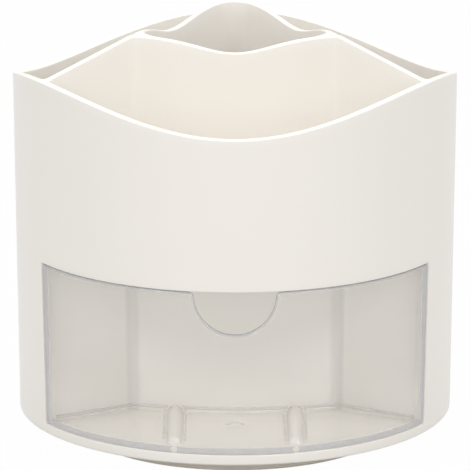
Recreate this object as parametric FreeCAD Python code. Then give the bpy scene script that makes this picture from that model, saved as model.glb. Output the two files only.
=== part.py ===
import FreeCAD, Part
import math
import os

os.makedirs("parts", exist_ok=True)

# Rotating desk organizer: a round tub with wavy walls on a ball turntable, and a clear drawer.
# Millimetres and degrees. Z is the turning axis, the table is at height 0, the drawer faces -Y.

# Tub: outside
rim_radius = 75.0
tub_taper = 1.3
outer_rim_height = 124.7
outer_rim_wave = 5.5
wall = 2.6
bottom_edge_round = 0.7

# Tub: central pen cup, a triangle with bulged sides
waves = 3
cup_corner_radius = 40.3
cup_side_distance = 25.5
cup_wall = 2.2
cup_inner_round = 8.0
cup_rim_rise = 14.5
cup_rim_wave = 2.4

# Tub: partitions and pockets
partition = 2.2
pocket_draft = 1.5
floor_thickness = 3.0
pocket_cup_round = 5.0
pocket_rim_round = 1.6
shelf_thickness = 2.6

# Drawer bay: a fan between the cup's side and the opening in the wall. Its corners' places are given
# along the front pocket's partitions, in from the cup's corner, and off their middle planes.
bay_floor_thickness = 3.5
bay_height = 55.9
bay_back_inset_low = 1.0
bay_back_inset_high = 0.4
bay_back_offset_low = 0.87
bay_back_offset_high = 0.52
bay_front_offset_low = 0.32
bay_front_offset_high = -0.86
rail_radius = 2.3
rail_spacing = 40.4

# Drawer
drawer_side_gap = 0.3
drawer_floor_gap = 0.3
drawer_top_gap = 0.5
drawer_back_gap = 1.0
drawer_setback = 0.2
drawer_wall = 2.1
drawer_floor = 1.8
drawer_back_round = 3.4
drawer_front_round = 0.6
notch_radius = 13.5
notch_drop = 0.7
notch_shoulder = 1.7
tunnel_gap = 0.4
tunnel_wall = 0.85
tunnel_end_gap = 9.0
gate_radius = 3.4
gate_depth = 0.4
gate_distance = 47.0
pip_radius = 0.9

# Base and feet
base_margin = 6.4
base_bottom = 0.4
base_plate_thickness = 2.7
base_lip = 2.0
base_lip_height = 2.4
base_edge_round = 0.5
foot_radius = 5.0
foot_thickness = 1.2
foot_inset = 10.4
foot_count = 4
foot_fit_gap = 0.1

# Ball bearing
ball_radius = 1.75
ball_count = 12
ball_inset = 9.4
ball_gap = 0.1
race_gap_share = 0.8
groove_ease = 0.25
cage_thickness = 1.4
cage_width = 7.0

# Turntable plate and its pivot
plate_margin = 7.6
plate_thickness = 2.6
journal_radius = 7.0
journal_fit_gap = 0.07
hub_radius = 11.0
hub_running_gap = 0.6
washer_radius = 10.5
washer_thickness = 0.8
washer_gap = 0.15
washer_room = 0.8
pivot_shank_radius = 2.0
pivot_head_radius = 4.0
pivot_head_thickness = 0.9
slot_width = 0.8
slot_depth = 0.5

# Screws that hold the plate under the tub
screw_inset = 0.9
screw_shank_radius = 1.3
screw_head_radius = 2.7
screw_head_height = 1.4
screw_length = 11.0
screw_fit_gap = 0.05

# One overrun for all cuts, and the count of points round a wavy edge
overrun = 2.0
wave_point_count = 72

FRONT = 0.0
FULL_TURN = 360.0
HALF_TURN = FULL_TURN / 2
BETWEEN = HALF_TURN / waves
UP = FreeCAD.Vector(0, 0, 1)
ALONG_Y = FreeCAD.Vector(0, 1, 0)

# The pen cup's rim stands over the outer rim
cup_rim_height = outer_rim_height + cup_rim_rise

# Circles of the turntable: screws under the cup's corners, balls inside them, plate and base outside
screw_circle = cup_corner_radius - screw_inset
ball_circle = screw_circle - ball_inset
plate_radius = screw_circle + plate_margin
base_radius = plate_radius + base_margin
foot_circle = base_radius - foot_inset

# Heights of the turntable stack, from the table up, and of the tub on it
base_top = base_bottom + base_plate_thickness
plate_bottom = base_top + 2 * ball_radius * race_gap_share
ball_height = (base_top + plate_bottom) / 2
journal_end = base_bottom + pivot_head_thickness + washer_thickness + washer_gap
hub_top = plate_bottom - hub_running_gap
screw_tip = plate_bottom + screw_length
tub_bottom = plate_bottom + plate_thickness
bay_floor = tub_bottom + bay_floor_thickness
bay_top = bay_floor + bay_height

# Room for cuts: past every wall, and over every rim
past_walls = rim_radius + overrun
over_rims = max(cup_rim_height + cup_rim_wave, outer_rim_height + outer_rim_wave) + overrun


def spot(radius, turn, height):
    """A point at an angle counted from the front, -Y, towards +X."""
    angle = math.radians(turn)
    return FreeCAD.Vector(radius * math.sin(angle), -radius * math.cos(angle), height)


def flat(x, y, height):
    return FreeCAD.Vector(x, y, height)


def tub_radius(height):
    """Outside radius of the drafted tub wall at a height."""
    rise = (height - tub_bottom) / (outer_rim_height + outer_rim_wave - tub_bottom)
    return rim_radius - tub_taper * (1 - rise)


def cylinder(radius, low, high, centre=(0, 0)):
    return Part.makeCylinder(radius, high - low, flat(centre[0], centre[1], low), UP)


def ring(outer, inner, low, high):
    return cylinder(outer, low, high).cut(cylinder(inner, low - overrun, high + overrun))


def drafted_round(inset, low, high):
    """The tub's outside, moved in by an inset, between two heights."""
    return Part.makeCone(tub_radius(low) - inset, tub_radius(high) - inset, high - low,
                         flat(0, 0, low), UP)


def turned(shape, turn):
    copy = shape.copy()
    copy.rotate(flat(0, 0, 0), UP, turn)
    return copy


def around(count, start=FRONT):
    return [start + FULL_TURN * step / count for step in range(count)]


def wavy_edge(radius, height, wave):
    """A closed curve whose height is lowest at the front and crests between the pockets."""
    points = [spot(radius, turn, height - wave * math.cos(math.radians(waves * turn)))
              for turn in around(wave_point_count)]
    curve = Part.BSplineCurve()
    curve.interpolate(Points=points, PeriodicFlag=True)
    return curve.toShape()


def sewn_solid(faces):
    shell = Part.Shell(faces)
    shell.sewShape()
    solid = Part.Solid(shell)
    if solid.Volume < 0:
        solid.reverse()
    return solid


def air_above():
    """Everything over the walls: level over the cup and the rim, sloping between them."""
    stations = [
        (overrun, cup_rim_height, cup_rim_wave),
        (cup_corner_radius, cup_rim_height, cup_rim_wave),
        (rim_radius - wall, outer_rim_height, outer_rim_wave),
        (rim_radius + overrun, outer_rim_height, outer_rim_wave),
    ]
    low = [wavy_edge(*station) for station in stations]
    high = [wavy_edge(station[0], over_rims, 0) for station in (stations[0], stations[-1])]
    faces = [Part.makeRuledSurface(a, b) for a, b in zip(low, low[1:])]
    faces.append(Part.makeRuledSurface(low[0], high[0]))
    faces.append(Part.makeRuledSurface(low[-1], high[1]))
    faces.append(Part.makeRuledSurface(high[0], high[1]))
    return sewn_solid(faces)


def bulged_triangle(inset, low, high):
    """A prism on three arcs between corners, each bulging out at the middle of its side."""
    half_corner = math.atan2(cup_side_distance - cup_corner_radius * math.cos(math.radians(BETWEEN)),
                             cup_corner_radius * math.sin(math.radians(BETWEEN)))
    corner_half_angle = math.radians(HALF_TURN / 2 - BETWEEN) + 2 * half_corner
    corner = cup_corner_radius - inset / math.sin(corner_half_angle)
    side = cup_side_distance - inset
    arcs = [Part.Arc(spot(corner, turn - BETWEEN, low), spot(side, turn, low),
                     spot(corner, turn + BETWEEN, low)).toShape() for turn in around(waves)]
    return Part.Face(Part.Wire(arcs)).extrude(UP * (high - low))


def upright_edges(solid, wanted):
    """Edges that climb from the bottom to the top of a solid, where wanted says yes."""
    box = solid.BoundBox
    found = []
    for edge in solid.Edges:
        climb = edge.BoundBox.ZLength
        if climb > box.ZLength / 2 and wanted(edge.CenterOfMass):
            found.append(edge)
    return found


def distance_out(place):
    return math.hypot(place.x, place.y)


def pocket(turn, low):
    """Room between two partitions, the cup and the outer wall, with rounded upright corners."""
    high = over_rims + overrun
    side = math.radians(BETWEEN)

    def outline(height):
        half = partition / 2 + pocket_draft * (over_rims - height) / (over_rims - tub_bottom)

        def on_partition(distance, hand):
            along_x = distance * math.sin(side) - half * math.cos(side)
            along_y = -distance * math.cos(side) - half * math.sin(side)
            return flat(hand * along_x, along_y, height)

        start = on_partition(partition, 1)
        right = on_partition(past_walls, 1)
        left = on_partition(past_walls, -1)
        middle = on_partition(partition, -1)
        arc = Part.Arc(right, spot(past_walls, FRONT, height), left).toShape()
        return Part.Wire([Part.makeLine(start, right), arc, Part.makeLine(left, middle),
                          Part.makeLine(middle, start)])

    sector = Part.makeLoft([outline(low), outline(high)], True, True)
    room = sector.common(drafted_round(wall, low, high)).cut(
        bulged_triangle(0, low - overrun, high + overrun))
    split = (cup_corner_radius + rim_radius) / 2
    room = room.makeFillet(pocket_cup_round, upright_edges(room, lambda p: distance_out(p) < split))
    room = room.makeFillet(pocket_rim_round, upright_edges(room, lambda p: distance_out(p) > split))
    return turned(room, turn)


def at_share(height, low, high):
    """A size that changes evenly from the bay's floor to its top."""
    return low + (high - low) * (height - bay_floor) / (bay_top - bay_floor)


def bay_outline(height, side_gap, back_gap, front_radius):
    """The bay's plan at a height, drawn in by its gaps, with its front on a given radius."""
    inset = at_share(height, bay_back_inset_low, bay_back_inset_high)
    back_offset = at_share(height, bay_back_offset_low, bay_back_offset_high)
    front_offset = at_share(height, bay_front_offset_low, bay_front_offset_high)
    out = spot(1, BETWEEN, 0)
    aside = FreeCAD.Vector(out.y, -out.x, 0)
    back = out * (cup_corner_radius - inset) + aside * back_offset + UP * height
    front_distance = math.sqrt(tub_radius(height) ** 2 - front_offset ** 2)
    run = out * front_distance + aside * front_offset + UP * height - back
    run.normalize()
    inward = FreeCAD.Vector(run.y, -run.x, 0) * side_gap
    back = back + inward
    back = back + run * (back_gap / -run.y)
    reach = -(back.dot(run) - back.z * run.z)
    across = back.x * run.y - back.y * run.x
    front = back + run * (reach + math.sqrt(front_radius ** 2 - across ** 2))
    other_front = flat(-front.x, front.y, height)
    other_back = flat(-back.x, back.y, height)
    return Part.Wire([
        Part.makeLine(back, front),
        Part.Arc(front, flat(0, -front_radius, height), other_front).toShape(),
        Part.makeLine(other_front, other_back),
        Part.Arc(other_back, flat(0, -cup_side_distance - back_gap, height), back).toShape(),
    ])


def bay_room(low, high, side_gap, back_gap, front_inset):
    wires = [bay_outline(height, side_gap, back_gap, tub_radius(height) - front_inset)
             for height in (low, high)]
    return Part.makeLoft(wires, True, True)


def round_ended_bar(radius, height, hand, front):
    """A round bar along Y over one of the two rails, from the turning axis to a ball end in front."""
    start = flat(hand * rail_spacing / 2, front + radius, height)
    bar = Part.makeCylinder(radius, -start.y, start, ALONG_Y)
    return bar.fuse(Part.makeSphere(radius, start))


tunnel_inner = rail_radius + tunnel_gap
tunnel_outer = tunnel_inner + tunnel_wall
tunnel_front = -math.sqrt(tub_radius(bay_floor) ** 2 - (rail_spacing / 2) ** 2) + tunnel_end_gap
rail_front = tunnel_front + tunnel_gap


def body_shell():
    """The tub, moulded in one: outer wall, cup, partitions, shelf, bay and guide rails."""
    tub = drafted_round(0, tub_bottom, over_rims)
    rim = [edge for edge in tub.Edges if edge.BoundBox.ZMax < tub_bottom + overrun]
    tub = tub.makeFillet(bottom_edge_round, rim)
    deep = tub_bottom + floor_thickness
    tub = tub.cut(pocket(FRONT, bay_top + shelf_thickness))
    for turn in around(waves)[1:]:
        tub = tub.cut(pocket(turn, deep))
    cup = bulged_triangle(cup_wall, deep, over_rims + overrun)
    cup = cup.makeFillet(cup_inner_round, upright_edges(cup, lambda p: True))
    tub = tub.cut(cup)
    tub = tub.cut(air_above())
    tub = tub.cut(bay_room(bay_floor, bay_top, 0, 0, -overrun))
    rail_room = bay_room(bay_floor, bay_top, 0, -cup_wall / 2, 0)
    for hand in (-1, 1):
        tub = tub.fuse(round_ended_bar(rail_radius, bay_floor, hand, rail_front).common(rail_room))
    for turn in around(waves, BETWEEN):
        hole = spot(screw_circle, turn, tub_bottom)
        tub = tub.cut(cylinder(screw_shank_radius + screw_fit_gap, tub_bottom - overrun,
                               screw_tip + screw_fit_gap, (hole.x, hole.y)))
    return tub.removeSplitter()


def notch_cut(top):
    """A finger notch through the drawer's front: a half round, rounded over at the top edge."""
    high = top + overrun
    reach = notch_radius + notch_shoulder
    wide = math.sqrt(reach ** 2 - (notch_shoulder - notch_drop) ** 2)

    def at(x, height):
        return FreeCAD.Vector(x, -past_walls, height)

    middle = at(0, top - notch_drop)

    def shoulder(hand):
        centre = at(hand * wide, top - notch_shoulder)
        inwards = (middle - centre) * (1 / reach)
        halfway = UP + inwards
        halfway.normalize()
        return [centre + UP * notch_shoulder, centre + halfway * notch_shoulder,
                centre + inwards * notch_shoulder]

    left, right = shoulder(-1), shoulder(1)
    outline = Part.Wire([
        Part.makeLine(at(-wide, high), left[0]),
        Part.Arc(*left).toShape(),
        Part.Arc(left[-1], middle - UP * notch_radius, right[-1]).toShape(),
        Part.Arc(*right[::-1]).toShape(),
        Part.makeLine(right[0], at(wide, high)),
        Part.makeLine(at(wide, high), at(-wide, high)),
    ])
    return Part.Face(outline).extrude(ALONG_Y * (past_walls - cup_corner_radius))


def drawer():
    """The clear drawer: a fan-shaped tray, whose front is a slice of the tub's own wall."""
    low = bay_floor + drawer_floor_gap
    top = bay_top - drawer_top_gap
    inside = low + drawer_floor
    tray = bay_room(low, top, drawer_side_gap, drawer_back_gap, drawer_setback)
    hollow = bay_room(inside, top + overrun, drawer_side_gap + drawer_wall,
                      drawer_back_gap + drawer_wall, drawer_setback + drawer_wall)
    split = -(cup_corner_radius + rim_radius) / 2 * math.cos(math.radians(BETWEEN))
    tray = tray.makeFillet(drawer_back_round, upright_edges(tray, lambda p: p.y > split))
    tray = tray.makeFillet(drawer_front_round, upright_edges(tray, lambda p: p.y < split))
    hollow = hollow.makeFillet(drawer_back_round - drawer_wall,
                               upright_edges(hollow, lambda p: p.y > split))
    hollow = hollow.makeFillet(drawer_front_round, upright_edges(hollow, lambda p: p.y < split))
    shape = tray.cut(hollow).cut(notch_cut(top))
    for hand in (-1, 1):
        centre = hand * rail_spacing / 2
        hump = round_ended_bar(tunnel_outer, low, hand, tunnel_front - tunnel_wall)
        shape = shape.fuse(hump.common(tray))
        shape = shape.cut(round_ended_bar(tunnel_inner, low, hand, tunnel_front))
        pip_place = flat(centre, tunnel_front - tunnel_end_gap / 2 + drawer_wall / 2, inside)
        pip = Part.makeSphere(pip_radius, pip_place)
        shape = shape.fuse(pip.common(cylinder(rim_radius, inside - drawer_floor / 2, top)))
    gate = cylinder(gate_radius, inside - gate_depth, inside + overrun, (0, -gate_distance))
    return shape.cut(gate).removeSplitter()


def ball_groove():
    """The ring that the balls roll in, cut into the base and into the plate."""
    return Part.makeTorus(ball_circle, ball_radius + groove_ease, flat(0, 0, ball_height), UP)


def base_plate():
    """The fixed foot of the turntable, with its ball groove, hub and foot recesses."""
    plate = cylinder(base_radius, base_bottom, base_top)
    plate = plate.fuse(ring(base_radius, base_radius - base_lip, base_top, base_top + base_lip_height))
    plate = plate.fuse(cylinder(hub_radius + washer_room, base_top, hub_top))
    plate = plate.removeSplitter()
    edges = [edge for edge in plate.Edges if edge.BoundBox.XLength > 2 * base_radius - base_lip]
    plate = plate.makeFillet(base_edge_round, edges)
    plate = plate.cut(cylinder(journal_radius + journal_fit_gap, 0, hub_top + overrun))
    plate = plate.cut(cylinder(washer_radius + washer_room, base_bottom - overrun,
                               journal_end + washer_gap))
    plate = plate.cut(ball_groove())
    for turn in around(foot_count, FULL_TURN / foot_count / 2):
        place = spot(foot_circle, turn, 0)
        plate = plate.cut(cylinder(foot_radius + foot_fit_gap, 0, foot_thickness,
                                   (place.x, place.y)))
    return plate


def foot(turn):
    """A rubber pad in its recess under the base."""
    place = spot(foot_circle, turn, 0)
    pad = cylinder(foot_radius, 0, foot_thickness, (place.x, place.y))
    edges = [edge for edge in pad.Edges if edge.BoundBox.ZMax < foot_thickness / 2]
    return pad.makeFillet(foot_thickness / 4, edges)


def turntable_plate():
    """The turning plate, screwed under the tub, with the journal that runs in the base."""
    plate = cylinder(plate_radius, plate_bottom, tub_bottom)
    plate = plate.fuse(cylinder(journal_radius, journal_end, plate_bottom))
    plate = plate.cut(ball_groove())
    plate = plate.cut(cylinder(pivot_shank_radius + screw_fit_gap, 0, tub_bottom + overrun))
    for turn in around(waves, BETWEEN):
        place = spot(screw_circle, turn, 0)
        spread = screw_head_height + screw_fit_gap
        cone = Part.makeCone(screw_head_radius + screw_fit_gap, screw_shank_radius + screw_fit_gap,
                             spread, flat(place.x, place.y, plate_bottom), UP)
        hole = cylinder(screw_shank_radius + screw_fit_gap, plate_bottom - overrun,
                        tub_bottom + overrun, (place.x, place.y))
        plate = plate.cut(cone).cut(hole)
    return plate.removeSplitter()


def cross_slot(radius, low, centre=(0, 0)):
    """Two crossed slots in a screw head that faces down."""
    along = Part.makeBox(radius, slot_width, slot_depth,
                         flat(centre[0] - radius / 2, centre[1] - slot_width / 2, low))
    across = Part.makeBox(slot_width, radius, slot_depth,
                          flat(centre[0] - slot_width / 2, centre[1] - radius / 2, low))
    return along.fuse(across)


def plate_screws():
    """Three countersunk screws from below, through the plate into the cup's corners."""
    screws = []
    for turn in around(waves, BETWEEN):
        place = spot(screw_circle, turn, 0)
        centre = (place.x, place.y)
        head = Part.makeCone(screw_head_radius, screw_shank_radius, screw_head_height,
                             flat(place.x, place.y, plate_bottom), UP)
        shank = cylinder(screw_shank_radius, plate_bottom + screw_head_height,
                         screw_tip - screw_shank_radius, centre)
        tip = Part.makeCone(screw_shank_radius, screw_fit_gap, screw_shank_radius,
                            flat(place.x, place.y, screw_tip - screw_shank_radius), UP)
        screw = head.fuse(shank).fuse(tip)
        screws.append(screw.cut(cross_slot(screw_head_radius, plate_bottom, centre)).removeSplitter())
    return Part.makeCompound(screws)


def pivot_washer():
    """The washer that keeps the base on the journal."""
    return ring(washer_radius, pivot_shank_radius + screw_fit_gap,
                journal_end - washer_thickness, journal_end)


def pivot_screw():
    """The pan-headed screw up the journal."""
    seat = journal_end - washer_thickness
    head = cylinder(pivot_head_radius, seat - pivot_head_thickness, seat)
    edges = [edge for edge in head.Edges if edge.BoundBox.ZMax < seat - pivot_head_thickness / 2]
    head = head.makeFillet(pivot_head_thickness / 2, edges)
    shank = cylinder(pivot_shank_radius, seat, tub_bottom)
    screw = head.fuse(shank).removeSplitter()
    return screw.cut(cross_slot(pivot_head_radius, seat - pivot_head_thickness))


def ball(turn):
    return Part.makeSphere(ball_radius, spot(ball_circle, turn, ball_height))


def ball_cage():
    """The flat ring that spaces the balls."""
    low = ball_height - cage_thickness / 2
    high = ball_height + cage_thickness / 2
    cage = ring(ball_circle + cage_width / 2, ball_circle - cage_width / 2, low, high)
    for turn in around(ball_count):
        place = spot(ball_circle, turn, 0)
        cage = cage.cut(cylinder(ball_radius + ball_gap, low - overrun, high + overrun,
                                 (place.x, place.y)))
    return cage


nodes = {
    "body_shell": body_shell(),
    "drawer": drawer(),
    "turntable_plate": turntable_plate(),
    "plate_screws": plate_screws(),
    "pivot_screw": pivot_screw(),
    "pivot_washer": pivot_washer(),
    "ball_cage": ball_cage(),
    "base_plate": base_plate(),
}
for number, turn in enumerate(around(ball_count), 1):
    nodes["ball_%02d" % number] = ball(turn)
for number, turn in enumerate(around(foot_count, FULL_TURN / foot_count / 2), 1):
    nodes["foot_%d" % number] = foot(turn)

for name, shape in nodes.items():
    shape.exportStep("parts/%s.step" % name)
    box = shape.BoundBox
    print(name, "solids", len(shape.Solids), "valid", shape.isValid(), "volume", round(shape.Volume, 1),
          "from", [round(v, 2) for v in (box.XMin, box.YMin, box.ZMin)],
          "to", [round(v, 2) for v in (box.XMax, box.YMax, box.ZMax)])
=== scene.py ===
import math

import bmesh
import bpy
import numpy as np
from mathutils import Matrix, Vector
from mathutils.geometry import delaunay_2d_cdt


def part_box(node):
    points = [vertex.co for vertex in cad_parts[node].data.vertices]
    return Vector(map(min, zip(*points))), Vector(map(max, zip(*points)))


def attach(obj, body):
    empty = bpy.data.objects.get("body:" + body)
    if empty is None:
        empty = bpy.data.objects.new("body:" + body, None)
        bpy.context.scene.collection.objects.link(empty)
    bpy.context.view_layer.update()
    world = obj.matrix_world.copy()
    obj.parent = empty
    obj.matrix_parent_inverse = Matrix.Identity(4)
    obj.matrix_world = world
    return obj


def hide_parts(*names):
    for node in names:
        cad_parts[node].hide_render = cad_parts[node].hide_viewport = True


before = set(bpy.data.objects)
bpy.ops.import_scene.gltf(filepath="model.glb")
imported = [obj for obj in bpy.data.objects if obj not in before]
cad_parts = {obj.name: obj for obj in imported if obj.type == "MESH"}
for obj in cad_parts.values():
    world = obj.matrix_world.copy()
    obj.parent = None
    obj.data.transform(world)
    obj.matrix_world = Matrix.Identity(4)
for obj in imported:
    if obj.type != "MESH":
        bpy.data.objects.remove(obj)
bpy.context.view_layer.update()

# A rotating desk organizer: an ivory tub with wavy walls on a turntable, and a clear drawer.
# Sizes are in metres. Z is the turning axis and the drawer faces -Y.

MM = 0.001
THIRD = 2 * math.pi / 3
SIXTH = math.pi / 3

# The tub
rim_radius = 75.0 * MM
tub_taper = 1.3 * MM
tub_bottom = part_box("body_shell")[0].z
outer_rim_height = 124.7 * MM
outer_rim_wave = 5.5 * MM
wall = 2.6 * MM
bottom_edge_round = 0.7 * MM
cup_corner = 40.3 * MM
cup_side = 25.5 * MM
cup_wall = 2.2 * MM
cup_inner_round = 8.0 * MM
cup_rim_height = 139.2 * MM
cup_rim_wave = 2.4 * MM
partition = 2.2 * MM
pocket_draft = 1.5 * MM
deep_floor = tub_bottom + 3.0 * MM
pocket_cup_round = 5.0 * MM
pocket_rim_round = 1.6 * MM
over_rims = cup_rim_height + cup_rim_wave + 2.0 * MM
rim_round = 0.45 * MM
floor_round = 2.0 * MM

# The bay and the drawer in it
bay_floor = tub_bottom + 3.5 * MM
bay_top = bay_floor + 55.9 * MM
shelf_top = bay_top + 2.6 * MM
bay_back_inset = (1.0 * MM, 0.4 * MM)
bay_back_offset = (0.87 * MM, 0.52 * MM)
bay_front_offset = (0.32 * MM, -0.86 * MM)
bay_edge_round = 0.3 * MM
bay_corner_round = 6.5 * MM  # covers the plate's screws behind the bay's back corners
rail_radius = 2.3 * MM
rail_place = 20.2 * MM
rail_gap = 0.4 * MM
drawer_low, drawer_high = (corner.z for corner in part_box("drawer"))
drawer_side_gap = 0.3 * MM
drawer_back_gap = 1.0 * MM
drawer_setback = 0.2 * MM
drawer_wall = 2.1 * MM
drawer_floor = 1.8 * MM
drawer_back_round = 3.4 * MM
drawer_least_round = 0.4 * MM
drawer_front_round = 0.6 * MM
lip_round = 0.5 * MM
notch_radius = 13.5 * MM
notch_drop = 0.7 * MM
notch_shoulder = 1.7 * MM
tunnel_inner = 2.7 * MM
tunnel_outer = 3.55 * MM
tunnel_end_gap = 9.0 * MM
gate_radius = 3.4 * MM
gate_place = 47.0 * MM
gate_depth = 0.4 * MM
pip_radius = 0.9 * MM

# Painted shade on the clear drawer, blue-grey lines that stand in for light bent through the plastic's
# thickness: in full at the first distance, gone at the second, and how strong
painted_corner_shade = (1.7 * MM, 3.8 * MM, 0.8)
painted_back_corner_shade = (0.9 * MM, 2.0 * MM, 0.2)
painted_slab_shade = (1.9 * MM, 2.2 * MM, 0.7)
painted_top_shade = (0.35 * MM, 0.75 * MM, 0.7)
painted_notch_shade = (0.35 * MM, 0.8 * MM, 0.8)
painted_seam_shade = (0.7 * MM, 1.2 * MM, 0.5)
painted_tunnel_shade = (0.15 * MM, 0.6 * MM, 0.3)
painted_gate_shade = (0.4 * MM, 1.0 * MM, 0.5)

# What bounds that painted shade: in full at the first distance and gone at the second
front_skin = (0.3 * MM, 0.8 * MM)
front_reach = (66.0 * MM, 64.0 * MM)
notch_depth = (16.0 * MM, 17.0 * MM)
pip_gap = (1.3 * MM, 0.8 * MM)
pip_lift = 1.0 * MM
tunnel_height = (3.4 * MM, 3.8 * MM)
tunnel_reach = (60.5 * MM, 61.5 * MM)
tunnel_end = (0.6 * MM, 0.2 * MM)
gate_far_side = (1.6 * MM, 0.6 * MM)
gate_foot = (drawer_floor - 0.6 * MM, drawer_floor - 1.0 * MM)
gate_head = (drawer_floor + 0.2 * MM, drawer_floor + 0.5 * MM)

# How finely the surfaces are cut, and how near to each other points are welded
round_rows = 5
side_rows = 25
floor_rows = 73
weld_distance = 0.002 * MM


def tub_radius(height):
    """The drafted outside: a straight line from the bottom up to the rim's crests."""
    rise = (height - tub_bottom) / (outer_rim_height + outer_rim_wave - tub_bottom)
    return rim_radius - tub_taper * (1 - rise)


def turn_of(points):
    """Turn of points about the axis, from the front."""
    return np.arctan2(points[..., 0], -points[..., 1])


def wall_top(points):
    """Height of the walls' tops: two waves of three crests a turn, the cup's and the rim's,
    each level along its own ring, and a straight slope between the two rings."""
    ripple = np.cos(3 * turn_of(points))
    near = cup_rim_height - cup_rim_wave * ripple
    far = outer_rim_height - outer_rim_wave * ripple
    reach = np.hypot(points[..., 0], points[..., 1])
    share = np.clip((reach - cup_corner) / (rim_radius - wall - cup_corner), 0, 1)
    return near + (far - near) * share


def turned(points, angle):
    """Points turned about Z, counter-clockwise from above."""
    c, s = math.cos(angle), math.sin(angle)
    out = points.copy()
    out[..., 0] = c * points[..., 0] - s * points[..., 1]
    out[..., 1] = s * points[..., 0] + c * points[..., 1]
    return out


def heading(turn):
    """The way out from the axis at a turn from the front."""
    return np.array([math.sin(turn), -math.cos(turn)])


def ring(turns, radius):
    """Flat points at turns from the front and a distance from the axis: x = r sin t, y = -r cos t."""
    return np.stack(np.broadcast_arrays(radius * np.sin(turns), -radius * np.cos(turns)), axis=-1)


def lifted(flat_points, heights):
    """Flat points with a height for all, or one for each."""
    heights = np.broadcast_to(heights, flat_points.shape[:-1])
    return np.concatenate([flat_points, heights[..., None]], axis=-1)


# Plans: those of a pocket, the bay and the drawer are a right half, from the middle of the cup's side
# to the front, and its mirror image.

def bend(centre, radius, start, end, count):
    """A round stretch about a centre, between two directions, end left out."""
    first = math.atan2(start[1], start[0])
    swing = math.atan2(start[0] * end[1] - start[1] * end[0], start[0] * end[0] + start[1] * end[1])
    angles = first + swing * np.arange(count) / count
    return centre + radius * np.stack([np.cos(angles), np.sin(angles)], axis=1)


def run(start, end, count):
    """A straight stretch in even steps, end left out."""
    return start + (end - start) * (np.arange(count) / count)[:, None]


def meeting(point, way, centre, radius):
    """Where a line that starts inside a circle leaves it."""
    offset = point - centre
    along = offset @ way
    return point + way * (-along + math.sqrt(along ** 2 - offset @ offset + radius ** 2))


def partition_ways():
    """Out along the right partition of the front pocket, and aside from it towards the middle."""
    out = heading(SIXTH)
    return out, np.array([out[1], -out[0]])


def back_arc():
    """Centre and radius of the arc that each side of the cup bulges out on."""
    half = cup_corner * math.sin(SIXTH)
    rise = cup_side - cup_corner * math.cos(SIXTH)
    radius = (half ** 2 + rise ** 2) / (2 * rise)
    return np.array([0.0, radius - cup_side]), radius


def pocket_plan(grow, height):
    """One of the three pockets, facing the front: back arc, corner, partition, corner, front arc.
    Its partitions thicken towards the floor. Growing the plan moves every line outwards and keeps
    the corners' centres."""
    out, aside = partition_ways()
    half = partition / 2 + pocket_draft * (over_rims - height) / (over_rims - tub_bottom)
    front_radius = tub_radius(height) - wall
    back_centre, back_radius = back_arc()
    cup_round, rim_corner = pocket_cup_round, pocket_rim_round
    inner = meeting(aside * half + aside * cup_round, out, back_centre, back_radius + cup_round)
    outer = meeting(aside * half + aside * rim_corner, out, np.zeros(2), front_radius - rim_corner)
    ahead = heading(0)
    to_back = (back_centre - inner) / np.linalg.norm(back_centre - inner)
    to_front = outer / np.linalg.norm(outer)
    right = np.concatenate([
        bend(back_centre, back_radius - grow, ahead, -to_back, 10),
        bend(inner, cup_round + grow, to_back, -aside, 6),
        run(inner - aside * (cup_round + grow), outer - aside * (rim_corner + grow), 20),
        bend(outer, rim_corner + grow, -aside, to_front, 4),
        bend(np.zeros(2), front_radius + grow, to_front, ahead, 30),
        np.array([[0.0, -front_radius - grow]]),
    ])
    return np.concatenate([right, right[-2:0:-1] * [-1, 1]])


def cup_plan(grow):
    """The inside of the cup: three bulging sides and three round corners."""
    centre, radius = back_arc()
    radius -= cup_wall
    corner_way = heading(SIXTH)
    corner = meeting(np.zeros(2), corner_way, centre, radius - cup_inner_round)
    to_side = (corner - centre) / np.linalg.norm(corner - centre)
    right = np.concatenate([
        bend(centre, radius + grow, heading(0), to_side, 16),
        bend(corner, cup_inner_round + grow, to_side, corner_way, 10),
    ])
    tip = corner + corner_way * (cup_inner_round + grow)
    side = np.concatenate([right, tip[None]])
    mirror = side[::-1] * [-1, 1]
    one = np.concatenate([mirror[:-1], side[:-1]])
    return np.concatenate([turned(one, THIRD * step) for step in range(3)])


# Meshes

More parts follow.
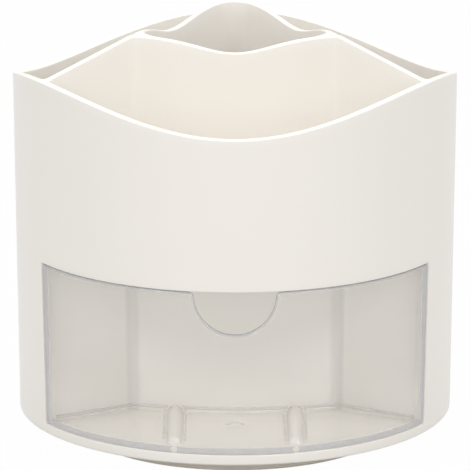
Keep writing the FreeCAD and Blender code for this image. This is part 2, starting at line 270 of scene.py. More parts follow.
class Skin:
    """Collects grids and faces, and welds them into one mesh."""

    def __init__(self):
        self.points = []
        self.faces = []
        self.count = 0

    def add(self, points):
        """Adds points and gives the number of the first."""
        points = np.asarray(points, float).reshape(-1, 3)
        first = self.count
        self.points.append(points)
        self.count += len(points)
        return first

    def grid(self, rows, closed=True):
        """A surface from rows of points; closed joins each row's end to its start."""
        rows = np.asarray(rows, float)
        height, width = rows.shape[:2]
        index = self.add(rows) + np.arange(height * width).reshape(height, width)
        across = np.roll(index, -1, axis=1) if closed else index[:, 1:]
        near = index if closed else index[:, :-1]
        quads = np.stack([near[:-1], across[:-1], across[1:], near[1:]], axis=-1).reshape(-1, 4)
        self.faces.extend(quads.tolist())

    def cap(self, loop, flip=False):
        """One flat face over a closed loop."""
        first = self.add(loop)
        face = list(range(first, first + len(loop)))
        self.faces.append(face[::-1] if flip else face)

    def triangles(self, points, faces):
        """Faces of their own over their own points."""
        first = self.add(points)
        self.faces.extend([[first + corner for corner in face] for face in faces])

    def piece(self, name, sharp_angle=38.0):
        """The finished object: one mesh, smooth up to the sharp angle."""
        mesh = bpy.data.meshes.new(name)
        mesh.from_pydata(np.concatenate(self.points).tolist(), [], self.faces)
        work = bmesh.new()
        work.from_mesh(mesh)
        bmesh.ops.remove_doubles(work, verts=work.verts, dist=weld_distance)
        bmesh.ops.dissolve_degenerate(work, edges=work.edges, dist=weld_distance / 2)
        bmesh.ops.recalc_face_normals(work, faces=work.faces)
        work.to_mesh(mesh)
        work.free()
        mesh.shade_smooth()
        mesh.set_sharp_from_angle(angle=math.radians(sharp_angle))
        obj = bpy.data.objects.new(name, mesh)
        bpy.context.scene.collection.objects.link(obj)
        return obj


def inside(points, loop):
    """Which points lie inside a closed loop, by counting the edges that a ray crosses."""
    nxt = np.roll(loop, -1, axis=0)
    x, y = points[:, 0:1], points[:, 1:2]
    spans = (loop[:, 1] > y) != (nxt[:, 1] > y)
    slope = (nxt[:, 0] - loop[:, 0]) / np.where(nxt[:, 1] == loop[:, 1], 1.0, nxt[:, 1] - loop[:, 1])
    hits = spans & (x < loop[:, 0] + slope * (y - loop[:, 1]))
    return hits.sum(axis=1) % 2 == 1


def land(outer, holes):
    """Triangles of the flat tops between an outer loop and its holes."""
    loops = [outer] + holes
    points = np.concatenate(loops)
    edges = []
    first = 0
    for loop in loops:
        size = len(loop)
        edges += [(first + i, first + (i + 1) % size) for i in range(size)]
        first += size
    scale = 1 / rim_radius
    with_hull, nearness = 0, 1e-7
    made = delaunay_2d_cdt([Vector(p) for p in points * scale], edges, [], with_hull, nearness)
    corners = np.array([tuple(p) for p in made[0]]) / scale
    triangles = np.array([face for face in made[2]])
    middles = corners[triangles].mean(axis=1)
    keep = inside(middles, outer)
    for hole in holes:
        keep &= ~inside(middles, hole)
    return corners, triangles[keep].tolist()


# The tub

def well(skin, plan, floor):
    """A hollow: rounded over at the rim, down its drafted sides, and rounded into its floor."""
    def row(grow, heights):
        """A plan at a height of its own for each column, on straight lines from low to high."""
        low, high = plan(grow, floor), plan(grow, over_rims)
        share = (heights - floor) / (over_rims - floor)
        return lifted(low + (high - low) * share[:, None], heights)

    rows = []
    for angle in np.linspace(math.pi / 2, 0, round_rows):
        grow = rim_round * (1 - math.cos(angle))
        flat = row(grow, wall_top(plan(grow, outer_rim_height)))[:, :2]
        rows.append(lifted(flat, wall_top(flat) - rim_round * (1 - math.sin(angle))))
    top = rows[-1][:, 2]
    for share in np.linspace(0, 1, side_rows)[1:]:
        rows.append(row(0.0, top + (floor + floor_round - top) * share))
    for angle in np.linspace(0, math.pi / 2, round_rows)[1:]:
        height = floor + floor_round * (1 - math.sin(angle))
        rows.append(row(-floor_round * (1 - math.cos(angle)), np.full_like(top, height)))
    skin.grid(rows)
    skin.cap(rows[-1])
    return rows[0][:, :2]


def bay_size(pair, height):
    """A size that changes evenly from the bay's floor to its top."""
    return pair[0] + (pair[1] - pair[0]) * (height - bay_floor) / (bay_top - bay_floor)


def opening_turn(height):
    """Half the angle that the drawer's opening takes at a height."""
    return SIXTH - np.arcsin(bay_size(bay_front_offset, height) / tub_radius(height))


def on_wall(turn, height, inset=0.0):
    """Points on the tub's outside, or inset from it."""
    return lifted(ring(turn, tub_radius(height) - inset), height)


def bay_side(height):
    """The straight side of the bay at a height: a place on it inside the cup, and its way out."""
    out, aside = partition_ways()
    back = out * (cup_corner - bay_size(bay_back_inset, height)) + aside * bay_size(bay_back_offset, height)
    front = on_wall(opening_turn(height), height)[:2]
    way = (front - back) / np.linalg.norm(front - back)
    return back - way * cup_side / 2, way


def bay_path(height, inset):
    """The bay's walls at a height, from one front edge round the back to the other: a straight
    side, a round corner, the arc of the cup's side, and the same again."""
    start, way = bay_side(height)
    across = np.array([way[1], -way[0]])
    back_centre, back_radius = back_arc()
    corner = meeting(start + across * bay_corner_round, way, back_centre, back_radius + bay_corner_round)
    front = meeting(start, way, np.zeros(2), tub_radius(height)) - way * inset
    to_back = (back_centre - corner) / np.linalg.norm(back_centre - corner)
    right = np.concatenate([
        bend(back_centre, back_radius, heading(0), -to_back, 12),
        bend(corner, bay_corner_round, to_back, -across, 4),
        run(corner - across * bay_corner_round, front, 16),
        front[None],
    ])
    left = right[:0:-1] * [-1, 1]
    return lifted(np.concatenate([left, right]), height)


def tub():
    """The ivory tub: outside wall, four wells, the tops between them, and the drawer's bay."""
    skin = Skin()
    front_columns, back_columns = 64, 128
    bottom_rows, mid_rows, top_rows = 6, 20, 24
    edge = bay_edge_round

    across = np.linspace(-1, 1, front_columns + 1)
    behind = np.linspace(0, 1, back_columns + 1)[1:-1]

    def wall_row(height_at, edge_turn, inset=0.0):
        """One row round the whole wall, with columns on both sides of the opening."""
        turns = np.concatenate([across * edge_turn,
                                edge_turn + (2 * math.pi - 2 * edge_turn) * behind])
        heights = height_at(turns)
        return on_wall(turns, heights, inset)

    def rim_at(turns):
        """Height of the rim's top at turns from the front."""
        return wall_top(ring(turns, rim_radius))

    low_edge = bay_floor - edge
    high_edge = bay_top + edge
    turn_low = opening_turn(bay_floor) + edge / tub_radius(bay_floor)
    turn_high = opening_turn(bay_top) + edge / tub_radius(bay_top)

    bottom = []
    for angle in np.linspace(math.pi / 2, 0, bottom_rows):
        inset = bottom_edge_round * (1 - math.cos(angle))
        height = tub_bottom + bottom_edge_round * (1 - math.sin(angle))
        bottom.append(wall_row(lambda turns: np.full_like(turns, height), turn_low, inset))
    middle = (tub_bottom + bottom_edge_round + low_edge) / 2
    bottom.append(wall_row(lambda turns: np.full_like(turns, middle), turn_low))
    bottom.append(wall_row(lambda turns: np.full_like(turns, low_edge), turn_low))
    skin.grid(bottom)
    skin.cap(bottom[0], flip=True)

    top = []
    for share in np.linspace(0, 1, top_rows + 1):
        top.append(wall_row(lambda turns: high_edge + (rim_at(turns) - rim_round - high_edge) * share,
                            turn_high))
    for angle in np.linspace(0, math.pi / 2, round_rows)[1:]:
        inset = rim_round * (1 - math.cos(angle))
        top.append(wall_row(lambda turns: rim_at(turns) - rim_round * (1 - math.sin(angle)),
                            turn_high, inset))
    skin.grid(top)

    sides = []
    for share in np.linspace(0, 1, mid_rows + 1):
        height = low_edge + (high_edge - low_edge) * share
        turn = turn_low + (turn_high - turn_low) * share
        turns = turn + (2 * math.pi - 2 * turn) * np.linspace(0, 1, back_columns + 1)
        sides.append(on_wall(turns, height))
    skin.grid(sides, closed=False)

    # The opening's edge: a small round from the wall to the bay, all the way round.
    def rounded(outer, sharp, inner):
        """A quadratic curve from the wall, by the sharp edge, to the bay."""
        rows = []
        for t in np.linspace(0, 1, round_rows):
            rows.append((1 - t) ** 2 * outer + 2 * t * (1 - t) * sharp + t ** 2 * inner)
        return rows

    shares = np.linspace(0, 1, mid_rows + 1)
    paths = [bay_path(bay_floor + (bay_top - bay_floor) * share, edge) for share in shares]
    lows, highs = paths[0], paths[-1]

    def front_arc(path, height):
        """From the left front end of a path to its right one, in line with the wall, which it
        joins over two columns at each end."""
        ends = turn_of(np.stack([path[0], path[-1]]))
        reach = np.hypot(path[-1][0], path[-1][1])
        turns = ends[1] * across
        bow = tub_radius(height) - edge - reach
        radius = reach + bow * np.clip((1 - np.abs(across)) * front_columns / 4, 0, 1)
        return lifted(ring(turns, radius), height)

    low_arc, high_arc = front_arc(lows, bay_floor), front_arc(highs, bay_top)
    skin.grid(rounded(on_wall(across * turn_low, low_edge),
                      on_wall(across * opening_turn(bay_floor), bay_floor), low_arc), closed=False)
    skin.grid(rounded(on_wall(across * turn_high, high_edge),
                      on_wall(across * opening_turn(bay_top), bay_top), high_arc), closed=False)
    heights = bay_floor + (bay_top - bay_floor) * shares
    for hand, end in ((1, -1), (-1, 0)):
        outer = on_wall(hand * (turn_low + (turn_high - turn_low) * shares),
                        low_edge + (high_edge - low_edge) * shares)
        sharp = on_wall(hand * opening_turn(heights), heights)
        inner = np.array([path[end] for path in paths])
        skin.grid(rounded(outer, sharp, inner), closed=False)
    skin.grid(paths, closed=False)
    skin.cap(np.concatenate([lows[:-1], low_arc[::-1][:-1]]))
    skin.cap(np.concatenate([highs[:-1], high_arc[::-1][:-1]]), flip=True)

    holes = [well(skin, lambda grow, height: cup_plan(grow), deep_floor)]
    for step, floor in enumerate((shelf_top, deep_floor, deep_floor)):
        def plan(grow, height, angle=THIRD * step):
            return turned(pocket_plan(grow, height), angle)

        holes.append(well(skin, plan, floor))

    corners, faces = land(top[-1][:, :2], holes)
    heights = wall_top(corners)
    rims = rim_at(turn_of(corners))
    at_rim = np.hypot(corners[:, 0], corners[:, 1]) > rim_radius - rim_round * 2
    skin.triangles(lifted(corners, np.where(at_rim, rims, heights)), faces)

    # The two guide rails on the bay's floor.
    for hand in (-1, 1):
        rail(skin, hand)
    return skin.piece("tub")


def tunnel_front():
    """Where the drawer's tunnels end at the front, along Y."""
    return -math.sqrt(tub_radius(bay_floor) ** 2 - rail_place ** 2) + tunnel_end_gap


def rail(skin, hand):
    """A half-round bar along Y, of height sqrt(r^2 - x^2), that ends in a quarter ball and is
    closed underneath."""
    points, bar_rows, end_rows = 17, 14, 7
    angles = np.linspace(0, math.pi, points)
    arch = np.stack([np.cos(angles), np.sin(angles)], axis=1) * rail_radius
    front = tunnel_front() + rail_gap + rail_radius
    back = -cup_side
    rows = []
    for depth in np.linspace(back, front, bar_rows):
        rows.append(np.stack([hand * rail_place + arch[:, 0], np.full(points, depth),
                              bay_floor + arch[:, 1]], axis=1))
    for bend_angle in np.linspace(0, math.pi / 2, end_rows)[1:]:
        shrink = math.cos(bend_angle)
        rows.append(np.stack([hand * rail_place + arch[:, 0] * shrink,
                              np.full(points, front - rail_radius * math.sin(bend_angle)),
                              bay_floor + arch[:, 1] * shrink], axis=1))
    skin.grid(rows, closed=True)
    skin.cap(rows[0])


# The drawer

def drawer_half(height, inset):
    """Right half of the drawer's plan in columns that pair a back point with a front point: two
    arcs, y = centre - sqrt(r^2 - x^2), with a straight side and two round corners between them."""
    start, way = bay_side(height)
    across = np.array([way[1], -way[0]])
    start = start + across * (drawer_side_gap + inset)
    back_centre, back_radius = back_arc()
    back_radius += drawer_back_gap + inset
    back_round = max(drawer_back_round - inset, drawer_least_round)
    front_round = drawer_front_round
    front_radius = tub_radius(height) - drawer_setback - inset
    inner = meeting(start + across * back_round, way, back_centre, back_radius + back_round)
    outer = meeting(start + across * front_round, way, np.zeros(2), front_radius - front_round)

    columns = shared_columns()
    back_near = np.stack([columns, back_centre[1] - np.sqrt(back_radius ** 2 - columns ** 2)], axis=1)
    front_near = np.stack([columns, -np.sqrt(front_radius ** 2 - columns ** 2)], axis=1)
    last = columns[-1]
    to_back = (back_centre - inner) / np.linalg.norm(back_centre - inner)
    to_front = outer / np.linalg.norm(outer)
    back_turn = math.asin(last / back_radius)
    front_turn = math.asin(last / front_radius)
    tip = (to_front - across) / np.linalg.norm(to_front - across)
    back_far = np.concatenate([
        bend(back_centre, back_radius, heading(back_turn), -to_back, 4)[1:],
        bend(inner, back_round, to_back, -across, 8),
        run(inner - across * back_round, outer - across * front_round, 16),
        bend(outer, front_round, -across, tip, 4),
        (outer + tip * front_round)[None],
    ])
    front_far = np.concatenate([
        bend(np.zeros(2), front_radius, heading(front_turn), to_front, 28)[1:],
        bend(outer, front_round, to_front, tip, 4),
        (outer + tip * front_round)[None],
    ])
    return np.concatenate([back_near, back_far]), np.concatenate([front_near, front_far])


def notch_sizes():
    """Half width of the notch over its shoulders, and the angle where they meet its half round."""
    reach = notch_radius + notch_shoulder
    wide = math.sqrt(reach ** 2 - (notch_shoulder - notch_drop) ** 2)
    return wide, math.asin(wide / reach)


def shared_columns():
    """Places across the drawer where back and front points line up: the notch, then the tunnel."""
    notch_columns, shoulder_columns, tunnel_columns = 25, 8, 15
    wide, join = notch_sizes()
    notch = notch_radius * np.sin(np.linspace(0, join, notch_columns))
    shoulder = wide - notch_shoulder * np.sin(np.linspace(join, 0, shoulder_columns))[1:]
    reach = math.sqrt(tunnel_outer ** 2 - drawer_floor ** 2)
    spread = -np.cos(np.linspace(0, math.pi, tunnel_columns))
    tunnel = rail_place + spread * reach
    bore = rail_place + np.array([-tunnel_inner, tunnel_inner])
    return np.sort(np.concatenate([notch, shoulder, tunnel, bore]))


def notch_edge(columns):
    """Drop and outward way of the front panel's top edge at each place across: the half round
    z = -drop - sqrt(r^2 - x^2), then a shoulder that bends over to the straight edge."""
    wide, join = notch_sizes()
    size = np.abs(columns)
    turn = np.arcsin(np.clip(size / notch_radius, 0, math.sin(join)))
    bent = np.arcsin(np.clip((wide - size) / notch_shoulder, 0, math.sin(join)))
    in_round = size <= notch_radius * math.sin(join)
    angle = np.where(in_round, turn, bent)
    drop = np.where(in_round, -notch_drop - notch_radius * np.cos(turn),
                    -notch_shoulder * (1 - np.cos(bent)))
    return drop, np.stack([-np.sin(angle) * np.sign(columns), np.cos(angle)], axis=1)


def floor_bumps(x, y, low, radius, front, lift):
    """A floor with two half-round ridges along Y, each ending in a ball at the front:
    the height of the ridge's circle over the floor, where it is higher."""
    side = np.abs(np.abs(x) - rail_place)
    past = np.clip(front + radius - y, 0, None)
    ridge = np.sqrt(np.clip(radius ** 2 - side ** 2 - past ** 2, 0, None))
    return np.maximum(low + lift, low + ridge)


def inner_floor(x, y):
    """The drawer's floor seen from above: ridges, the round gate recess, whose side is a smooth
    step over a third of its radius, and the two pips, each half a ball."""
    front = tunnel_front() - (tunnel_outer - tunnel_inner)
    height = floor_bumps(x, y, drawer_low, tunnel_outer, front, drawer_floor)
    gate = np.hypot(x, y + gate_place) / gate_radius
    dish = np.clip((1 - gate) * 3, 0, 1)
    height = height - gate_depth * dish * dish * (3 - 2 * dish)
    pip_y = tunnel_front() - tunnel_end_gap / 2 + drawer_wall / 2
    pip = pip_radius ** 2 - (np.abs(x) - rail_place) ** 2 - (y - pip_y) ** 2
    return height + np.sqrt(np.clip(pip, 0, None))


def under_floor(x, y):
    """The drawer's floor seen from below: flat, with the tunnels' bores."""
    return floor_bumps(x, y, drawer_low, tunnel_inner, tunnel_front(), 0.0)


def drawer():
    """The clear drawer: an outer skin with its under side, an inner skin, and a lip between."""
    skin = Skin()
    low, high = drawer_low, drawer_high
    inside_low = low + drawer_floor

    plans = {}
    for name, inset in (("outer", 0.0), ("inner", drawer_wall)):
        for level, height in (("low", low), ("high", high)):
            plans[name, level] = drawer_half(height, inset)

    count = len(shared_columns())

    def loop(pair):
        """Back points from left to right, then front points from right to left."""
        back, front = pair
        back_all = np.concatenate([back[:0:-1] * [-1, 1], back])
        front_all = np.concatenate([front[:0:-1] * [-1, 1], front])
        return np.concatenate([back_all, front_all[::-1][1:-1]])

    loops = {key: loop(pair) for key, pair in plans.items()}
    size = len(plans["outer", "low"][0])
    back_count = 2 * size - 1
    columns = loops["outer", "low"][:, 0]
    front_columns = np.zeros(len(columns), bool)
    middle = back_count - 1 + size - 1
    front_columns[middle - count + 1:middle + count] = True
    lift = np.zeros(len(columns))
    way = np.zeros((len(columns), 2))
    way[:, 1] = 1.0
    lift[front_columns], way[front_columns] = notch_edge(columns[front_columns])
    edge = high + lift

    def wall_at(name, heights, shift=0.0):
        """Points on one face of the wall, at a height for each column."""
        share = ((heights - low) / (high - low))[:, None]
        flat = loops[name, "low"] * (1 - share) + loops[name, "high"] * share
        reach = np.hypot(flat[:, 0], flat[:, 1])
        x = flat[:, 0] + shift
        y = np.where(front_columns, -np.sqrt(np.clip(reach ** 2 - x ** 2, 0, None)), flat[:, 1])
        return np.stack([x, y, heights], axis=1)

    def lip_row(across, out):
        """A row of the lip: a share of the way across it, and how far out along the edge's way."""
        heights = edge + way[:, 1] * out
        outer = wall_at("outer", heights, way[:, 0] * out)
        inner = wall_at("inner", heights, way[:, 0] * out)
        return outer + (inner - outer) * across

    def climb(name, start):
        """Rows from a bottom edge up to where the lip's round starts."""
        end = edge - way[:, 1] * lip_round
        rows = []
        for share in np.linspace(0, 1, side_rows):
            heights = start + (end - start) * share
            rows.append(wall_at(name, heights, -way[:, 0] * lip_round * share))
        return rows

    flat_low = loops["outer", "low"]
    start = under_floor(flat_low[:, 0], flat_low[:, 1])
    outer_rows = climb("outer", start)
    outer_rows[0] = lifted(flat_low, start)
    inner_start = np.full(len(columns), inside_low)
    base_points = wall_at("inner", inner_start)
    inner_start = inner_floor(base_points[:, 0], base_points[:, 1])
    inner_rows = climb("inner", inner_start)
    inner_rows[0] = np.concatenate([base_points[:, :2], inner_start[:, None]], axis=1)

    round_share = lip_round / drawer_wall
    lip_rows = []
    for angle in np.linspace(0, math.pi / 2, round_rows)[1:]:
        lip_rows.append(lip_row(round_share * (1 - math.cos(angle)), lip_round * (math.sin(angle) - 1)))
    for angle in np.linspace(math.pi / 2, 0, round_rows)[:-1]:
        lip_rows.append(lip_row(1 - round_share * (1 - math.cos(angle)), lip_round * (math.sin(angle) - 1)))
    skin.grid(outer_rows + lip_rows + inner_rows[::-1])

    def floor_skin(points, height_at):
        """Straight lines from each back point to its front point, lifted to a floor's shape."""
        back = points[:back_count, :2]
        front = np.concatenate([points[back_count - 1:, :2], points[:1, :2]])[::-1]
        rows = []
        for share in np.linspace(0, 1, floor_rows):
            flat = back + (front - back) * share
            rows.append(lifted(flat, height_at(flat[:, 0], flat[:, 1])))
        return rows

    skin.grid(floor_skin(outer_rows[0], under_floor), closed=False)
    skin.grid(floor_skin(inner_rows[0], inner_floor), closed=False)
    return skin.piece("clear_drawer", sharp_angle=32.0)


# Shader maths

class Value:
    """A shader socket that Python's operators work on, each adding its Math node."""

    def __init__(self, paint, socket):
        self.paint = paint
        self.socket = socket

    def maths(self, operation, *values):
        return self.paint.node("ShaderNodeMath", {"operation": operation},
                               **{str(i): v for i, v in enumerate(values)})["Value"]

    def __add__(self, other):
        return self.maths("ADD", self, other)

    def __sub__(self, other):
        return self.maths("SUBTRACT", self, other)

    def __rsub__(self, other):
        return self.maths("SUBTRACT", other, self)

    def __mul__(self, other):
        return self.maths("MULTIPLY", self, other)

    def __pow__(self, other):
        return self.maths("POWER", self, other)

    def __abs__(self):
        return self.maths("ABSOLUTE", self)

    __radd__ = __add__
    __rmul__ = __mul__

    def clamped(self):
        return self.maths("MINIMUM", self.maths("MAXIMUM", self, 0.0), 1.0)

    def least(self, other):
        return self.maths("MINIMUM", self, other)

    def most(self, other):
        return self.maths("MAXIMUM", self, other)

    def length(self, other):
        """The hypotenuse of two values."""
        return (self * self + other * other) ** 0.5

    def fades(self, full, gone):
        """1 from full on and 0 from gone on, evenly between the two, whichever of them is larger."""
        return ((self - gone) * (1 / (full - gone))).clamped()

    def glows(self, full, gone, strength):
        """Painted shade of a strength that fades with this distance."""
        return self.fades(full, gone) * strength


class Node:
    """A shader node whose outputs are read as values, by name or number."""

    def __init__(self, paint, node):
        self.paint = paint
        self.node = node

    def __getitem__(self, output):
        return Value(self.paint, self.node.outputs[output])


class Paint:
    """A material or world, and the one method that adds its nodes."""

    def __init__(self, name, kind=bpy.data.materials, output="ShaderNodeOutputMaterial"):
        self.painted = kind.new(name)
        self.painted.use_nodes = True
        self.tree = self.painted.node_tree
        self.tree.nodes.clear()
        self.out = self.tree.nodes.new(output)

    def node(self, kind, settings=None, **inputs):
        """A node of a kind, with its settings, and values or links for its inputs by name or number."""
        node = self.tree.nodes.new(kind)
        for name, setting in (settings or {}).items():
            setattr(node, name, setting)
        for name, value in inputs.items():
            socket = node.inputs[int(name)] if name.isdigit() else node.inputs[name.replace("_", " ")]
            if isinstance(value, Value):
                self.tree.links.new(value.socket, socket)
            else:
                socket.default_value = value
        return Node(self, node)

    def place(self):
        """The place on the piece, in metres."""
        return self.node("ShaderNodeTexCoord")["Object"]

    def axes(self):
        """X, Y and Z of the place on the piece."""
        split = self.node("ShaderNodeSeparateXYZ", Vector=self.place())
        return split["X"], split["Y"], split["Z"]

    def noise(self, scale, detail=3.0, roughness=0.5):
        """Noise with about scale features a metre, from 0 to 1."""
        return self.node("ShaderNodeTexNoise", Vector=self.place(), Scale=scale, Detail=detail,
                         Roughness=roughness)["Fac"]

    def mix(self, share, first, second):
        """A colour that goes from the first to the second as the share goes from 0 to 1."""
        return self.node("ShaderNodeMix", {"data_type": "RGBA"}, **{"0": share, "6": first, "7": second})[2]

    def blend(self, share, first, second):
        """A shader that goes from the first to the second as the share goes from 0 to 1."""
        return self.node("ShaderNodeMixShader", **{"0": share, "1": first[0], "2": second[0]})

    def finish(self, shader):
        """The material or world, with its surface made by a shader."""
        self.tree.links.new(shader[0].socket, self.out.inputs["Surface"])
        return self.painted


def moulded_plastic(name, light, dark, gloss, grain):
    """Moulded plastic: near-even colour, a soft drift in gloss and a faint orange-peel."""
    paint = Paint(name)
    drift = paint.noise(14.0, 2.0)
    peel = paint.noise(160.0, 1.0)
    scuff = paint.noise(90.0, 3.0)
    bump = paint.node("ShaderNodeBump", Strength=grain, Distance=0.0002, Height=peel)
    rough = gloss + (scuff - 0.5) * 0.05 + (drift - 0.5) * 0.05
    return paint.finish(paint.node(
        "ShaderNodeBsdfPrincipled", Base_Color=paint.mix(drift, dark, light),
        Roughness=rough.clamped(), Normal=bump["Normal"], IOR=1.5))


def gathered_light(paint):
    """Mask of painted shade on the clear drawer, blue-grey lines that stand in for light bent
    through the plastic's thickness: its upright front corners, the slab under its front save for two
    pips left clear as painted highlights, the top edge and notch, the back corners, the floor's seams,
    the tunnels' outlines and the far side of the gate recess."""
    x, y, z = paint.axes()
    across = abs(x)
    from_low = z - drawer_low
    from_top = drawer_high - z
    from_middle = x.length(y)
    from_rail = abs(across - rail_place)
    from_notch = x.length(z - (drawer_high - notch_drop)) - notch_radius

    # The side wall's distance: a plane that leans from its low line to its high line.
    low_side, way = bay_side(drawer_low)
    high_side = bay_side(drawer_high)[0]
    normal = (-way[1], way[0])
    low_offset = low_side[0] * normal[0] + low_side[1] * normal[1]
    high_offset = high_side[0] * normal[0] + high_side[1] * normal[1]
    lean = (high_offset - low_offset) / (drawer_high - drawer_low)
    side_offset = from_low * lean + low_offset
    from_side = (side_offset - across * normal[0] - y * normal[1]) - drawer_side_gap
    back_centre, back_radius = back_arc()
    from_back = x.length(y - float(back_centre[1])) - (back_radius + drawer_back_gap)
    near_wall = (from_side - drawer_wall).least(from_back - drawer_wall)
    rise = (tub_radius(drawer_high) - tub_radius(drawer_low)) / (drawer_high - drawer_low)
    front_radius = from_low * rise + (tub_radius(drawer_low) - drawer_setback)

    on_front = (front_radius - from_middle).fades(*front_skin)
    corner = from_side.glows(*painted_corner_shade) * on_front
    # Painted highlight: the slab's painted shade is left out around the two pips, which stay clear and
    # bright.
    clear_pip = from_rail.length(from_low - pip_lift).fades(*pip_gap)
    slab = from_low.glows(*painted_slab_shade) * on_front * clear_pip
    top_line = from_top.glows(*painted_top_shade)
    notch_line = from_notch.glows(*painted_notch_shade) * from_top.fades(*notch_depth)
    notch_line = notch_line * from_middle.fades(*front_reach)
    seam = near_wall.length(from_low - drawer_floor).glows(*painted_seam_shade)
    back_corner = from_side.most(from_back).glows(*painted_back_corner_shade)
    tunnel_line = abs(from_rail - tunnel_outer).glows(*painted_tunnel_shade) * from_low.fades(*tunnel_height)
    tunnel_line = tunnel_line * from_middle.fades(*tunnel_reach) * near_wall.fades(*tunnel_end)
    from_gate = abs(x.length(y + gate_place) - gate_radius)
    gate_line = from_gate.glows(*painted_gate_shade) * (y + gate_place).fades(*gate_far_side)
    gate_line = gate_line * from_low.fades(*gate_foot) * from_low.fades(*gate_head)
    edge = corner.most(slab).most(top_line).most(notch_line).most(seam).most(back_corner)
    return edge.most(tunnel_line).most(gate_line)


def clear_plastic():
    """Clear polished plastic: see-through with a faint haze, painted shade that makes it blue-grey
    and denser along lines where light bends through its thickness, and a mirror at grazing angles."""
    paint = Paint("clear_plastic")
    flow = paint.noise(26.0, 2.0)
    facing = paint.node("ShaderNodeLayerWeight", Blend=0.5)["Facing"]
    edge = gathered_light(paint)
    haze = 0.006 + facing ** 5.0 * 0.05
    face_colour = paint.mix(flow, (0.80, 0.79, 0.79, 1), (0.84, 0.83, 0.83, 1))
    # Painted shade: the colour turns blue-grey and the alpha rises along the painted lines.
    colour = paint.mix(edge, face_colour, (0.44, 0.44, 0.475, 1))
    polish = (0.03 + flow * 0.03).clamped()
    body = paint.node("ShaderNodeBsdfPrincipled", Base_Color=colour, Roughness=polish,
                      Alpha=haze.most(edge).clamped())
    mirror = paint.node("ShaderNodeBsdfPrincipled", Base_Color=(0.95, 0.95, 0.96, 1), Roughness=polish,
                        Metallic=1.0)
    return paint.finish(paint.blend(0.015 + facing ** 8.0 * 0.40, body, mirror))


def metal(name, colour, dark, rough, scale):
    """Plated or polished steel with fine scratches in its gloss."""
    paint = Paint(name)
    cloud = paint.noise(scale, 4.0, 0.6)
    marks = paint.noise(scale * 9, 3.0, 0.7)
    return paint.finish(paint.node(
        "ShaderNodeBsdfPrincipled", Base_Color=paint.mix(cloud, dark, colour), Metallic=1.0,
        Roughness=(rough + (marks - 0.5) * 0.16).clamped()))


def soft_matte(name, light, dark, rough, scale):
    """Rubber or unpolished plastic with a fine grain."""
    paint = Paint(name)
    cloud = paint.noise(scale * 0.1, 3.0)
    grain = paint.noise(scale, 4.0, 0.6)
    bump = paint.node("ShaderNodeBump", Strength=0.35, Distance=0.0002, Height=grain)
    return paint.finish(paint.node(
        "ShaderNodeBsdfPrincipled", Base_Color=paint.mix(cloud, dark, light),
        Roughness=(rough + (grain - 0.5) * 0.15).clamped(), Normal=bump["Normal"]))


def dress(obj, material):
    """Gives an object one material."""
    obj.data.materials.clear()
    obj.data.materials.append(material)


ivory = moulded_plastic("ivory_plastic", light=(0.932, 0.905, 0.86, 1), dark=(0.924, 0.896, 0.85, 1),
                        gloss=0.30, grain=0.04)
# Painted light: the base's ivory is yellower than the tub's, standing in for the warm bounce light it gets
# in the tub's shade.
ivory_base = moulded_plastic("ivory_base_plastic", light=(0.93, 0.87, 0.755, 1),
                             dark=(0.92, 0.858, 0.742, 1), gloss=0.38, grain=0.08)
clear = clear_plastic()
zinc = metal("zinc_steel", (0.70, 0.70, 0.72, 1), (0.58, 0.58, 0.60, 1), 0.34, 400.0)
polished = metal("ball_steel", (0.80, 0.80, 0.82, 1), (0.74, 0.74, 0.76, 1), 0.16, 700.0)
cage_plastic = soft_matte("cage_plastic", (0.72, 0.72, 0.71, 1), (0.66, 0.66, 0.65, 1), 0.5, 1200.0)
rubber = soft_matte("foot_rubber", (0.36, 0.35, 0.34, 1), (0.31, 0.30, 0.29, 1), 0.75, 1500.0)

tub_piece = tub()
dress(tub_piece, ivory)
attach(tub_piece, "tub")
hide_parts("body_shell")

drawer_piece = drawer()
dress(drawer_piece, clear)
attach(drawer_piece, "drawer")
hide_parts("drawer")

node_paints = {"turntable_plate": ivory_base, "base_plate": ivory_base, "ball_cage": cage_plastic,
               "plate_screws": zinc, "pivot_screw": zinc, "pivot_washer": zinc}
for name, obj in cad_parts.items():
    if name in node_paints:
        dress(obj, node_paints[name])
    elif name.startswith("ball_"):
        dress(obj, polished)
    elif name.startswith("foot_"):
        dress(obj, rubber)


# The photograph's camera, floor and light

CAMERA_RISE = math.radians(14.95)
CAMERA_REACH = 1.7548
CAMERA_LENS = 394.6
CAMERA_AIM = Vector((0.0, 0.0, 67.6 * MM))
LAMP_AIM = Vector((0.0, 0.0, 70.0 * MM))
LAMP_COLOUR = (1.0, 0.985, 0.96)
ROOM_COLOUR = (1.0, 0.995, 0.985, 1)
ROOM_STRENGTH = 0.59
FLOOR_REACH = 4.0


def make_camera():
    """The photograph's view: along +Y from the front, looking down a little."""
    data = bpy.data.cameras.new("camera")
    data.lens = CAMERA_LENS
    data.sensor_width = 36.0
    data.clip_start, data.clip_end = 0.05, 20.0
    camera = bpy.data.objects.new("camera", data)
    bpy.context.scene.collection.objects.link(camera)
    back = Vector((0.0, -math.cos(CAMERA_RISE), math.sin(CAMERA_RISE)))
    camera.location = CAMERA_AIM + back * CAMERA_REACH
    camera.rotation_mode = "QUATERNION"
    camera.rotation_quaternion = (-back).to_track_quat("-Z", "Y")
    bpy.context.scene.camera = camera


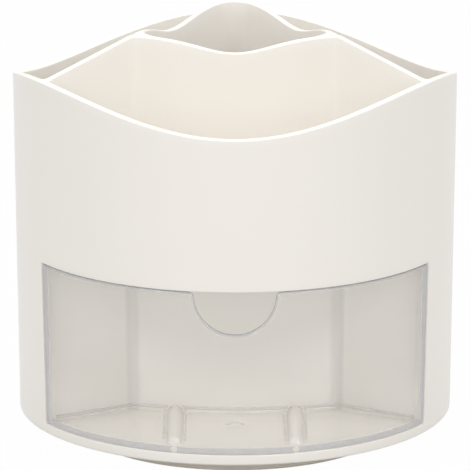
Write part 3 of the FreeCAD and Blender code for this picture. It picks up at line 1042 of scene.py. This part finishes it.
def pale_surface(name, white_share):
    """A floor that the camera and reflections see nearly white, and that still takes shadows."""
    paint = Paint(name)
    path = paint.node("ShaderNodeLightPath")
    seen = (path["Is Camera Ray"] + path["Is Glossy Ray"] + path["Is Transmission Ray"]).clamped()
    tone = paint.noise(3.0)
    matt = paint.node("ShaderNodeBsdfPrincipled", Roughness=0.9,
                      Base_Color=paint.mix(tone, (0.50, 0.50, 0.50, 1), (0.54, 0.54, 0.54, 1)))
    glow = paint.node("ShaderNodeEmission", Color=(1, 1, 1, 1), Strength=1.0)
    return paint.finish(paint.blend(seen * white_share, matt, glow))


def make_floor():
    """A plain pale floor, which isn't part of the object."""
    mesh = bpy.data.meshes.new("floor")
    corners = [(x * FLOOR_REACH, y * FLOOR_REACH, 0) for x, y in ((-1, -1), (1, -1), (1, 1), (-1, 1))]
    mesh.from_pydata(corners, [], [(0, 1, 2, 3)])
    floor = bpy.data.objects.new("floor", mesh)
    bpy.context.scene.collection.objects.link(floor)
    dress(floor, pale_surface("floor_white", white_share=0.985))


def make_world():
    """A pale room: white to the camera, and softer as light."""
    paint = Paint("room", bpy.data.worlds, "ShaderNodeOutputWorld")
    light = paint.node("ShaderNodeBackground", Color=ROOM_COLOUR, Strength=ROOM_STRENGTH)
    white = paint.node("ShaderNodeBackground", Color=(1, 1, 1, 1), Strength=1.0)
    seen = paint.node("ShaderNodeLightPath")["Is Camera Ray"]
    bpy.context.scene.world = paint.finish(paint.blend(seen, light, white))


def soft_lamp(name, place, size, watts):
    """A soft rectangular lamp that faces the tub's middle."""
    data = bpy.data.lights.new(name, "AREA")
    data.shape = "RECTANGLE"
    data.size, data.size_y = size
    data.energy = watts
    data.color = LAMP_COLOUR
    lamp = bpy.data.objects.new(name, data)
    bpy.context.scene.collection.objects.link(lamp)
    lamp.location = place
    lamp.rotation_mode = "QUATERNION"
    lamp.rotation_quaternion = (LAMP_AIM - Vector(place)).to_track_quat("-Z", "Y")


make_camera()
make_floor()
make_world()
for side in (-1.0, 1.0):
    soft_lamp("front_light", place=(side, -0.95, 1.2), size=(0.5, 0.5), watts=5.7)
soft_lamp("low_light", place=(0.0, -1.7, 0.40), size=(2.2, 0.5), watts=3.6)
soft_lamp("top_light", place=(0.0, 0.12, 1.5), size=(0.5, 0.5), watts=11.0)
bpy.context.scene.view_settings.view_transform = "Standard"
# Light crosses the clear drawer's skins on its way in and again on its way out.
bpy.context.scene.cycles.transparent_max_bounces = 32
